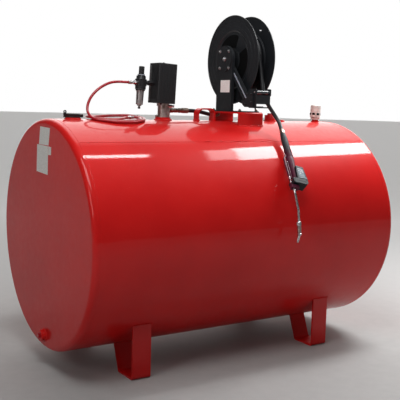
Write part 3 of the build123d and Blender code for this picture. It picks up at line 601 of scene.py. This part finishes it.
# ------------------------------------------------------------------ blank plates and stickers
def quad_plate(name, corners_, out, thick, mat, lift=0.0):
    bm = bmesh.new()
    o = Vector(out).normalized()
    c = sum((Vector(q) for q in corners_), Vector()) / len(corners_)
    low = [bm.verts.new(Vector(q) + o * lift) for q in corners_]
    mid = [bm.verts.new(Vector(q) + o * (lift + thick * 0.6)) for q in corners_]
    top = [bm.verts.new(c + (Vector(q) - c) * 0.985 + o * (lift + thick)) for q in corners_]
    n = len(corners_)
    for a, b in ((low, mid), (mid, top)):
        for k in range(n):
            bm.faces.new((a[k], a[(k + 1) % n], b[(k + 1) % n], b[k]))
    bm.faces.new(low[::-1])
    bm.faces.new(top)
    return piece(name, bm, mat, "root", 0)


quad_plate("head_sticker_a", [P(-851.2, 49, 497), P(-851.2, -66, 493), P(-851.2, -49, 415), P(-851.2, 65, 415)], (-1, 0, 0), 0.0004, "label_pale")
quad_plate("head_sticker_b", [P(-851.2, 87.5, 414), P(-851.2, 93.7, 288.5), P(-851.2, -40, 282), P(-851.2, -45, 411)], (-1, 0, 0), 0.0004, "label_pale")
quad_plate("head_sticker_c", [P(-851.2, -48, 411), P(-851.2, -46, 372), P(-851.2, -78, 374), P(-851.2, -80, 409)], (-1, 0, 0), 0.0004, "label_pale")
quad_plate("post_sticker", [P(127, 32, 741), P(127, 32, 679), P(127, -50, 679), P(127, -50, 741)], (-1, 0, 0), 0.0004, "post_plate")

# ------------------------------------------------------------------ reel
bm = bmesh.new()
for y, z in ((37, 887), (-42, 887), (37, 803), (-42, 803)):
    hexbolt(bm, P(123, y, z), (-1, 0, 0), 0.0062, turn=0.3)
hexbolt(bm, P(123, -3.5, 848), (-1, 0, 0), 0.0085, turn=0.1)
piece("hub_bolts", bm, "bright_steel", "root", 30)
bm = bmesh.new()
for x, y in ((137, -131), (240, -131), (137, 103), (240, 103)):
    hexbolt(bm, P(x, y, 586), (0, 0, 1), 0.0075, turn=0.2)
piece("base_bolts", bm, "plated_steel", "root", 30)
bm = bmesh.new()
hexbolt(bm, P(274, -100.6, 994), (-1, 0, 0), 0.0052)
hexbolt(bm, P(274, 120, 740), (-1, 0, 0), 0.0052)
piece("disc_bolts", bm, "bright_steel", "spool", 30)


def sector(bm, x0, x1, r0, r1, a0, a1, n=26, corner=0.010):
    """A kidney-shaped pad on a disc between two radii, angles in degrees from +Y towards +Z."""
    out = []
    for i in range(n + 1):
        t = math.radians(a0 + (a1 - a0) * i / n)
        e = min(i, n - i) / n * (math.radians(a1 - a0)) * r1
        k = corner * max(0.0, 1 - e / corner) ** 2 * 0.6
        out.append((t, r1 - k))
    for i in range(n, -1, -1):
        t = math.radians(a0 + (a1 - a0) * i / n)
        e = min(i, n - i) / n * (math.radians(a1 - a0)) * r0
        k = corner * max(0.0, 1 - e / corner) ** 2 * 0.6
        out.append((t, r0 + k))
    rows = []
    for xx in (x0, x1):
        c = P(xx, 0, 846)
        rows.append([bm.verts.new(c + Vector((0, r * math.cos(t), r * math.sin(t)))) for t, r in out])
    m = len(out)
    for k in range(m):
        bm.faces.new((rows[0][k], rows[0][(k + 1) % m], rows[1][(k + 1) % m], rows[1][k]))
    # caps as strips
    for row in rows:
        for i in range(n):
            bm.faces.new((row[i], row[i + 1], row[m - 2 - i], row[m - 1 - i]))


# painted shade: near-black pads on both discs stand in for the shade seen through their windows
bm = bmesh.new()
for a0, a1 in ((32, 112), (152, 232), (272, 352)):
    sector(bm, 176.3, 177.0, 0.062, 0.128, a0, a1)
    sector(bm, 271.0, 271.7, 0.062, 0.128, a0, a1)
piece("disc_windows_painted_shade", bm, "dark_gap", "spool", 0)
# raised rims around the windows and pressed rings on both discs
bm = bmesh.new()
for x, s in ((177.0, -1), (271.0, 1)):
    c = P(x, 0, 846)
    for r, w in ((0.134, 0.0011), (0.054, 0.0011)):
        pts = [c + Vector((0, r * math.cos(t), r * math.sin(t))) for t in (2 * math.pi * k / 96 for k in range(96))]
        tube(bm, pts, w, 8, closed=True, ref=(1, 0, 0))
for x in (172.0, 276.0):
    c = P(x, 0, 846)
    for r in (0.172, 0.198):
        pts = [c + Vector((0, r * math.cos(t), r * math.sin(t))) for t in (2 * math.pi * k / 120 for k in range(120))]
        tube(bm, pts, 0.0009, 8, closed=True, ref=(1, 0, 0))
piece("disc_rings", bm, "black_paint", "spool", 50)

# the arm's folded edge, its bright line painted on in bluish grey as a highlight, and its flange
d = (P(141, -173.4, 651.7) - P(141, -44.6, 797.4)).normalized()
nrm = Vector((0, -d.z, d.y))
mid_ = (P(142, -173.4, 651.7) + P(142, -44.6, 797.4)) / 2
bm = bmesh.new()
slab(bm, mid_, d, nrm, (1, 0, 0), (0.097, 0.0030, 0.0022))
piece("arm_edge_painted_highlight", bm, "edge_grey", "root", 30)
bm = bmesh.new()
slab(bm, mid_ + nrm * 0.0185 + Vector((0.0005, 0, 0)), d, nrm, (1, 0, 0), (0.090, 0.0015, 0.0035))
slab(bm, mid_ - nrm * 0.0160 + Vector((0.0005, 0, 0)), d, nrm, (1, 0, 0), (0.085, 0.0015, 0.0035))
for y, z in ((-181, 672), (-214, 672), (-214, 632), (-166, 622)):
    hexbolt(bm, P(144, y, z), (-1, 0, 0), 0.0045)
# the small spike under the guide head
lathe(bm, P(153.5, -238, 603.5), (0, 0, -1), [(0, 0.0046), (0.006, 0.0034), (0.0135, 0.0006)], 12)
# foot of the post: short welds
for y0, y1 in ((-62, -34), (-8, 22), (46, 66)):
    line_weld(bm, P(126.3, y0, 587), P(126.3, y1, 587), 0.0026)
piece("reel_small_parts", bm, "black_paint", "root", 35)
bm = bmesh.new()
for y, z in ((-231, 681), (-192.5, 640)):
    lathe(bm, P(151, y, z), (-1, 0, 0), [(0, 0.0046), (0.0016, 0.0044), (0.0028, 0.0026)], 18)
lathe(bm, P(245, -231, 681), (1, 0, 0), [(0, 0.0046), (0.0016, 0.0044), (0.0028, 0.0026)], 18)
piece("roller_pin_heads", bm, "bright_steel", "root", 35)
bm = bmesh.new()
for x in (160, 236):
    lathe(bm, P(x, -231, 681), (1, 0, 0), [(0, 0.0091), (0.0008, 0.0098), (0.0016, 0.0091)], 28, False)
piece("front_roller_rings", bm, "roller_plastic", "roller_front", 40)

# ------------------------------------------------------------------ air motor's cover and pump
lean = math.radians(2.7)
c_u, c_w = Vector((math.cos(lean), 0, -math.sin(lean))), Vector((math.sin(lean), 0, math.cos(lean)))


def cov(x, y, z):
    return P(-244, 0, 614.4) + (c_u * x + Vector((0, 1, 0)) * y + c_w * z) / 1000


# painted reflection: a lighter grey strip along the rear edge of the cover's -X face stands in for light reflected
# there
bm = bmesh.new()
slab(bm, cov(-51.2, 33, 96), c_w, (0, 1, 0), c_u, (0.086, 0.0085, 0.0008))
piece("cover_side_painted_reflection", bm, "cover_grey", "root", 30)
bm = bmesh.new()
for y in (12, -1, -14, -27):
    slab(bm, cov(-51.3, y, 96), c_w, (0, 1, 0), c_u, (0.078, 0.0016, 0.0009))
for x in (-30, -15, 0, 15, 30):
    slab(bm, cov(x, -50.3, 96), c_w, c_u, (0, 1, 0), (0.078, 0.0016, 0.0009))
    slab(bm, cov(x, 50.3, 96), c_w, c_u, (0, 1, 0), (0.078, 0.0016, 0.0009))
for y in (-24, -8, 8, 24):
    slab(bm, cov(51.3, y, 96), c_w, (0, 1, 0), c_u, (0.078, 0.0016, 0.0009))
lathe(bm, cov(0, 0, 192.6), c_w, [(0, 0.012), (0.0012, 0.012), (0.0018, 0.010)], 28)
# rolled lip around the cover's foot
for a, b in (((-51, -50), (51, -50)), ((51, -50), (51, 50)), ((51, 50), (-51, 50)), ((-51, 50), (-51, -50))):
    p0 = cov(a[0] + (b[0] - a[0]) * 0.07, a[1] + (b[1] - a[1]) * 0.07, 2.2)
    p1 = cov(a[0] + (b[0] - a[0]) * 0.93, a[1] + (b[1] - a[1]) * 0.93, 2.2)
    tube(bm, [p0, p1], 0.0013, 8)
lathe(bm, cov(-14, -20, 0.5), -c_w, [(0, 0.0050), (0.006, 0.0046), (0.009, 0.002)], 14)
piece("cover_ribs", bm, "black_plastic", "root", 35)
bm = bmesh.new()
prism(bm, cov(0, 0, 194.0), c_w, 0.0058, 0.005)
prism(bm, P(-213, -18, 601.5), Vector((0.8, -0.6, 0)), 0.0092, 0.016)
lathe(bm, P(-203, -25, 601.5), Vector((0.8, -0.6, 0)), [(0, 0.0062), (0.014, 0.0062), (0.016, 0.0045)], 20)
piece("pump_top_plug", bm, "bright_steel", "root", 30)
bm = bmesh.new()
lathe(bm, P(-216, -10, 557.2), (0, 0, 1), [(0, 0.0125), (0.003, 0.0135), (0.040, 0.0135), (0.0450, 0.010)], 28)
for z, r in ((562, 0.0267), (571, 0.0267), (597, 0.0267)):
    lathe(bm, P(-235, 0, z), (0, 0, 1), [(0, 0.0259), (0.0010, r), (0.0030, r), (0.0040, 0.0259)], 44, False)
for k in range(6):
    t = 2 * math.pi * (k + 0.3) / 6
    hexbolt(bm, P(-235 + 30.2 * math.cos(t), 30.2 * math.sin(t), 557), (0, 0, 1), 0.0026, washer=False)
lathe(bm, P(-268, 0, 552), (-1, 0, 0), [(0, 0.0052), (0.007, 0.0052), (0.009, 0.0035)], 16)
piece("pump_details", bm, "pump_metal", "root", 35)

# ------------------------------------------------------------------ regulator and bowl
r_l = math.radians(3.5)
r_u, r_w = Vector((math.cos(r_l), 0, -math.sin(r_l))), Vector((math.sin(r_l), 0, math.cos(r_l)))


def reg(x, y, z):
    return P(-361, 0, 711) + (r_u * x + Vector((0, 1, 0)) * y + r_w * (z - 711)) / 1000


bm = bmesh.new()
lathe(bm, reg(0, 0, 723.5), r_w, [(0, 0.0258), (0.0012, 0.0270), (0.0040, 0.0270), (0.0052, 0.0238)], 44, False)
for k in range(14):
    t = 2 * math.pi * k / 14
    o = reg(0, 0, 737) + (r_u * math.cos(t) + Vector((0, 1, 0)) * math.sin(t)) * 0.0212
    slab(bm, o, r_w, Vector((-math.sin(t), math.cos(t), 0)), (r_u * math.cos(t) + Vector((0, 1, 0)) * math.sin(t)), (0.0062, 0.0012, 0.0016))
for x, y in ((-18, -18), (18, -18), (18, 18), (-18, 18)):
    lathe(bm, reg(x, y, 726), r_w, [(0, 0.0034), (0.0016, 0.0032), (0.0024, 0.0016)], 12)
lathe(bm, reg(0, 0, 673), r_w, [(0, 0.0218), (0.001, 0.0228), (0.005, 0.0228), (0.006, 0.0218)], 44, False)
piece("regulator_ribs", bm, "black_plastic", "root", 35)
bm = bmesh.new()
lathe(bm, reg(0, 0, 746.5), r_w, [(0, 0.0180), (0.0008, 0.0188), (0.0022, 0.0184), (0.0030, 0.0170)], 40, False)
piece("regulator_bonnet_ring", bm, "edge_grey", "root", 35)
# painted shade: near-black strips on the bowl guard stand in for the shade inside its slots
bm = bmesh.new()
for k in range(4):
    t = math.radians(-150 + 90 * k)
    e = r_u * math.cos(t) + Vector((0, 1, 0)) * math.sin(t)
    slab(bm, reg(0, 0, 646) + e * 0.01785, r_w, Vector((-math.sin(t), math.cos(t), 0)), e, (0.017, 0.0016, 0.0009))
piece("bowl_slots_painted_shade", bm, "dark_gap", "root", 35)
bm = bmesh.new()
lathe(bm, reg(0, 0, 607.5), r_w, [(0, 0.0169), (0.001, 0.0176), (0.004, 0.0177), (0.005, 0.0170)], 40, False)
lathe(bm, reg(0, 0, 665), r_w, [(0, 0.0182), (0.001, 0.0190), (0.005, 0.0191), (0.006, 0.0183)], 40, False)
piece("bowl_bands", bm, "bowl_metal", "root", 35)
bm = bmesh.new()
lathe(bm, reg(0, 0, 586.3), r_w, [(0, 0.0058), (0.0008, 0.0066), (0.006, 0.0066), (0.007, 0.0056)], 20, False)
piece("bowl_drain_collar", bm, "cap_black", "root", 35)

# the outlet's crimped sleeve
o_u = Vector((math.cos(math.radians(12)), math.sin(math.radians(12)), 0))
bm = bmesh.new()
for q in (133, 138, 143, 148, 153, 158, 163):
    lathe(bm, P(-235, 0, 581) + o_u * q / 1000, o_u, [(0, 0.0124), (0.0008, 0.0133), (0.0024, 0.0133), (0.0032, 0.0124)], 28, False)
for q in (61, 64, 67, 70, 93, 96, 99, 102):
    lathe(bm, P(-235, 0, 581) + o_u * q / 1000, o_u, [(0, 0.0089), (0.0007, 0.0098), (0.0014, 0.0089)], 24, False)
for q in (1.5, 5.5, 9.5, 13.5):
    lathe(bm, P(-411 - q, 0, 711), (-1, 0, 0), [(0, 0.0081), (0.0007, 0.0087), (0.0018, 0.0087), (0.0025, 0.0081)], 24, False)
piece("hose_crimps", bm, "plated_steel", "root", 35)

# ------------------------------------------------------------------ control handle
h_z = Vector((-95, -258, -261)).normalized()
h_x = (Vector((1, 0, 0)) - h_z * h_z.x).normalized()
h_y = h_z.cross(h_x)
h_0 = P(276, -299, 497)


def H(x, y, z):
    return h_0 + (h_x * x + h_y * y + h_z * z) / 1000


bm = bmesh.new()
for z in range(58, 190, 7):
    a = 16 + (z - 50) / 80.0 if z <= 130 else 17 + 3 * (z - 130) / 70.0
    b_ = 14 + (z - 50) / 80.0 if z <= 130 else 15 + 2 * (z - 130) / 70.0
    pts = [H(a * math.cos(t), b_ * math.sin(t), z) for t in (2 * math.pi * k / 40 for k in range(40))]
    tube(bm, pts, 0.0009, 6, closed=True, ref=tuple(h_z))
piece("grip_ribs", bm, "handle_metal", "root", 50)
bm = bmesh.new()
lathe(bm, H(-24.5, 6.5, 224), h_y, [(0, 0.0032), (0.0014, 0.0030), (0.0022, 0.0015)], 16)
lathe(bm, H(-24.5, -6.5, 224), -h_y, [(0, 0.0032), (0.0014, 0.0030), (0.0022, 0.0015)], 16)
# painted highlights: two small bright steel plates on the guard's side stand in for its glints
slab(bm, H(-36.6, 3, 322), h_z, h_y, h_x, (0.0085, 0.0035, 0.0016))
slab(bm, H(-36.6, 3, 350), h_z, h_y, h_x, (0.0060, 0.0032, 0.0016))
piece("handle_pins_and_painted_glints", bm, "bright_steel", "root", 35)
# the meter's face: a blank glass, plain keys and its pale rim
bm = bmesh.new()
face = [(4, -269.5), (34, -273), (39.2, -325), (4, -322.6)]
for q, k in ((face, 26.8),):
    lo_ = [bm.verts.new(H(x, k, -z)) for x, z in q]
    hi_ = [bm.verts.new(H(x, k + 0.9, -z)) for x, z in q]
    for i in range(4):
        bm.faces.new((lo_[i], lo_[(i + 1) % 4], hi_[(i + 1) % 4], hi_[i]))
    bm.faces.new(lo_[::-1])
    bm.faces.new(hi_)
piece("meter_face", bm, "display", "root", 0)
bm = bmesh.new()
for x, z in ((9, 276), (19, 278), (29, 281), (10, 288), (21, 290), (31, 293), (15, 304)):
    lathe(bm, H(x, 27.7, z), h_y, [(0, 0.0026), (0.0005, 0.0025), (0.0008, 0.0018)], 14)
piece("meter_keys", bm, "label_pale", "root", 35)
bm = bmesh.new()
slab(bm, H(22, 28.2, 331), h_x, h_z, h_y, (0.021, 0.0036, 0.0012))
piece("meter_pale_rim", bm, "meter_rim", "root", 35)
bm = bmesh.new()
for x, z in ((-24, 344), (-24, 358), (40, 341), (36, 361)):
    lathe(bm, H(x, 28, z), h_y, [(0, 0.0026), (0.0008, 0.0024), (0.0004, 0.001)], 14)
slab(bm, H(10, 28.3, 351), h_x, h_z, h_y, (0.024, 0.0016, 0.0007))
slab(bm, H(10, -22.2, 351), h_x, h_z, h_y, (0.024, 0.0016, 0.0007))
piece("meter_screws", bm, "cap_black", "root", 35)

# nozzle: knurled rings and a bright collar
n_d = Vector((2, -6, -60)).normalized()
n_0 = P(160, -596, 84)
bm = bmesh.new()
for q in (17, 22, 27, 32, 37, 42, 47):
    lathe(bm, n_0 + n_d * q / 1000, n_d, [(0, 0.0089), (0.0009, 0.0097), (0.0024, 0.0097), (0.0033, 0.0089)], 24, False)
piece("nozzle_rings", bm, "plated_steel", "root", 35)
bm = bmesh.new()
lathe(bm, n_0 + n_d * -0.004, n_d, [(0, 0.0062), (0.0015, 0.0085), (0.0042, 0.0098)], 24, False)
lathe(bm, n_0 + n_d * 0.0525, n_d, [(0, 0.0098), (0.0008, 0.0108), (0.0040, 0.0108), (0.0048, 0.0098)], 24, False)
piece("nozzle_collar", bm, "bright_steel", "root", 35)

# ------------------------------------------------------------------ vent
v_l = math.radians(4.0)
v_u, v_w = Vector((math.cos(v_l), 0, -math.sin(v_l))), Vector((math.sin(v_l), 0, math.cos(v_l)))
v_0 = P(752, 0, 557)
# painted shade: near-black plates round the vent stand in for the shade inside its slots
bm = bmesh.new()
for k in range(7):
    t = math.radians(-150 + 360 * k / 7)
    e = v_u * math.cos(t) + Vector((0, 1, 0)) * math.sin(t)
    side = v_w.cross(e)
    slab(bm, v_0 + v_w * 0.019 + e * 0.0284, side, v_w, e, (0.0075, 0.0055, 0.0006))
piece("vent_slots_painted_shade", bm, "dark_gap", "root", 35)
bm = bmesh.new()
lathe(bm, v_0 + v_w * 0.034, v_w, [(0, 0.0283), (0.0012, 0.0290), (0.0040, 0.0290), (0.0052, 0.0283)], 44, False)
lathe(bm, v_0 + v_w * 0.0055, v_w, [(0, 0.0283), (0.0010, 0.0289), (0.0026, 0.0289), (0.0036, 0.0283)], 44, False)
lathe(bm, v_0 + v_w * 0.0678, v_w, [(0, 0.0150), (0.0010, 0.0145), (0.0016, 0.0120)], 32)
piece("vent_bands", bm, "vent_aluminium", "root", 35)

# ------------------------------------------------------------------ fill cap
bm = bmesh.new()
lathe(bm, P(-714, 0, 556.8), (0, 0, 1), [(0, 0.0315), (0.0010, 0.0305), (0.0010, 0.0272), (0.0, 0.0262)], 48, False)
lathe(bm, P(-714, 0, 556.9), (0, 0, 1), [(0, 0.0100), (0.0010, 0.0094), (0.0014, 0.0060)], 28)
for y in (16.4, -16.4):
    lathe(bm, P(-671, y, 551.5), (0, 1 if y > 0 else -1, 0), [(0, 0.0032), (0.0010, 0.0031), (0.0016, 0.0018)], 14)
piece("fill_cap_ring_mark", bm, "cap_black", "cap", 35)
bm = bmesh.new()
for q in (854, 860, 866):
    lathe(bm, P(-q, 0, -470), (-1, 0, 0), [(0, 0.0268), (0.0012, 0.0277), (0.0028, 0.0277), (0.0040, 0.0268)], 40, False)
piece("drain_coupling_bands", bm, "red_paint", "root", 35)

# ------------------------------------------------------------------ floor, world and lights
bm = bmesh.new()
rings = []
for rr in (0.0, 0.6, 1.2, 1.8, 2.5, 3.3, 4.5, 6.0, 9.0, 14.0, 24.0, 40.0, 70.0):
    rings.append([bm.verts.new((rr * math.cos(2 * math.pi * k / 48), rr * math.sin(2 * math.pi * k / 48), -0.0005)) for k in range(48)] if rr else [bm.verts.new((0, 0, -0.0005))])
for k in range(48):
    bm.faces.new((rings[0][0], rings[1][k], rings[1][(k + 1) % 48]))
for a, b in zip(rings[1:], rings[2:]):
    for k in range(48):
        bm.faces.new((a[k], b[k], b[(k + 1) % 48], a[(k + 1) % 48]))
me = bpy.data.meshes.new("floor")
bm.to_mesh(me)
bm.free()
floor = bpy.data.objects.new("floor", me)
scene.collection.objects.link(floor)
fmat, nt, b = new_mat("floor_painted_shade_near_pale_far", Roughness=0.75, Specular_IOR_Level=0.1)
tc = nt.nodes.new("ShaderNodeTexCoord")
ln = nt.nodes.new("ShaderNodeVectorMath")
ln.operation = "LENGTH"
nt.links.new(tc.outputs["Object"], ln.inputs[0])
# painted shade: the floor is dark grey within 1.2 m of the tank's middle and turns pale by 5 m, darkening the floor
# round the tank and the light it sends back onto the lower shell
far = remap(nt, ln.outputs["Value"], 1.2, 5.0, 0.0, 1.0)
grain = ramp(nt, noise(nt, coords(nt), 14, 6, 0.6), [(0.2, (0.36, 0.357, 0.353)), (0.8, (0.40, 0.396, 0.39))])
nt.links.new(mix(nt, far, grain, (0.93, 0.93, 0.93)), b.inputs["Base Color"])
me.materials.append(fmat)

world = bpy.data.worlds.new("studio")
scene.world = world
world.use_nodes = True
wt = world.node_tree
for n in list(wt.nodes):
    wt.nodes.remove(n)
w_out = wt.nodes.new("ShaderNodeOutputWorld")
w_seen = wt.nodes.new("ShaderNodeBackground")
w_seen.inputs["Color"].default_value = (1.0, 1.0, 1.0, 1)
w_seen.inputs["Strength"].default_value = 1.0
w_lit = wt.nodes.new("ShaderNodeBackground")
w_tc = wt.nodes.new("ShaderNodeTexCoord")
w_sep = wt.nodes.new("ShaderNodeSeparateXYZ")
wt.links.new(w_tc.outputs["Generated"], w_sep.inputs["Vector"])
back_side = remap(wt, w_sep.outputs["Y"], 0.20, 0.34, 0.0, 1.0)
right_side = remap(wt, w_sep.outputs["X"], -0.15, 0.25, 0.0, 1.0)
back_right = math_node(wt, "MULTIPLY", back_side, right_side)
level = remap(wt, back_right, 0.0, 1.0, 0.07, 2.3)
wt.links.new(level, w_lit.inputs["Strength"])
w_lit.inputs["Color"].default_value = (1.0, 0.985, 0.97, 1)
w_path = wt.nodes.new("ShaderNodeLightPath")
w_mix = wt.nodes.new("ShaderNodeMixShader")
wt.links.new(w_path.outputs["Is Camera Ray"], w_mix.inputs["Fac"])
wt.links.new(w_lit.outputs[0], w_mix.inputs[1])
wt.links.new(w_seen.outputs[0], w_mix.inputs[2])
wt.links.new(w_mix.outputs[0], w_out.inputs["Surface"])


def area(name, at, aim, size, radiance, colour=(1, 1, 1), spin=0.0):
    L = bpy.data.lights.new(name, "AREA")
    L.shape = "RECTANGLE"
    L.size, L.size_y = size
    L.energy = radiance * math.pi * size[0] * size[1]
    L.color = colour
    o = bpy.data.objects.new(name, L)
    d = (Vector(aim) - Vector(at)).normalized()
    o.rotation_mode = "QUATERNION"
    o.rotation_quaternion = d.to_track_quat("-Z", "Y")
    o.rotation_quaternion = o.rotation_quaternion @ Matrix.Rotation(spin, 4, "Z").to_quaternion()
    o.location = at
    scene.collection.objects.link(o)
    return o


area("strip_left", (0.12, -0.375, 2.6), (0.12, -0.375, 0.0), (0.54, 0.10), 34.0)
area("strip_right", (1.83, -0.25, 2.6), (1.83, -0.25, 0.0), (1.44, 0.56), 26.0, spin=math.radians(9))
area("strip_right_end", (0.99, -0.38, 2.6), (0.99, -0.38, 0.0), (0.24, 0.44), 9.0, spin=math.radians(9))
area("soft_top", (-1.2, -1.3, 3.1), (-0.2, 0.0, 0.7), (1.6, 1.2), 7.0)
area("left_key", (-3.3, -1.6, 2.1), (-0.85, 0.0, 0.7), (0.6, 1.2), 7.0)
